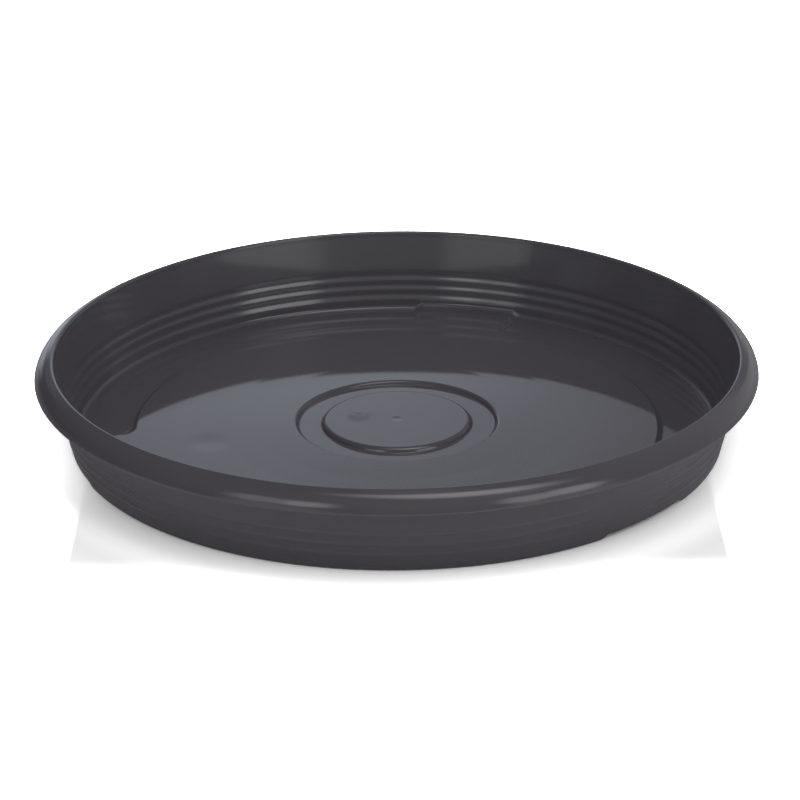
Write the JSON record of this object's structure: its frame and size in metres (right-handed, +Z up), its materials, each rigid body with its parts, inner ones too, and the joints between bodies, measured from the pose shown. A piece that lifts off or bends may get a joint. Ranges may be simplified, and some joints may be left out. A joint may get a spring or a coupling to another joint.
{
  "type": "plant saucer",
  "caption": "Round plant saucer with a sloping wall that three shallow grooves run round, a rolled rim with a hanging skirt, and a stepped floor with drain channels under its foot band.",
  "frame": {"origin": "centre of the saucer on the surface that it stands on", "axes": "+Z up along the saucer's axis; -Y is the side nearest the viewer in the picture and +X its right"},
  "size_m": [0.3994, 0.3994, 0.0495],
  "materials": {
    "saucer_plastic": "dark anthracite grey moulded plastic, semi-gloss"
  },
  "bodies": {
    "root": {"saucer": "saucer_plastic"}
  },
  "joints": []
}
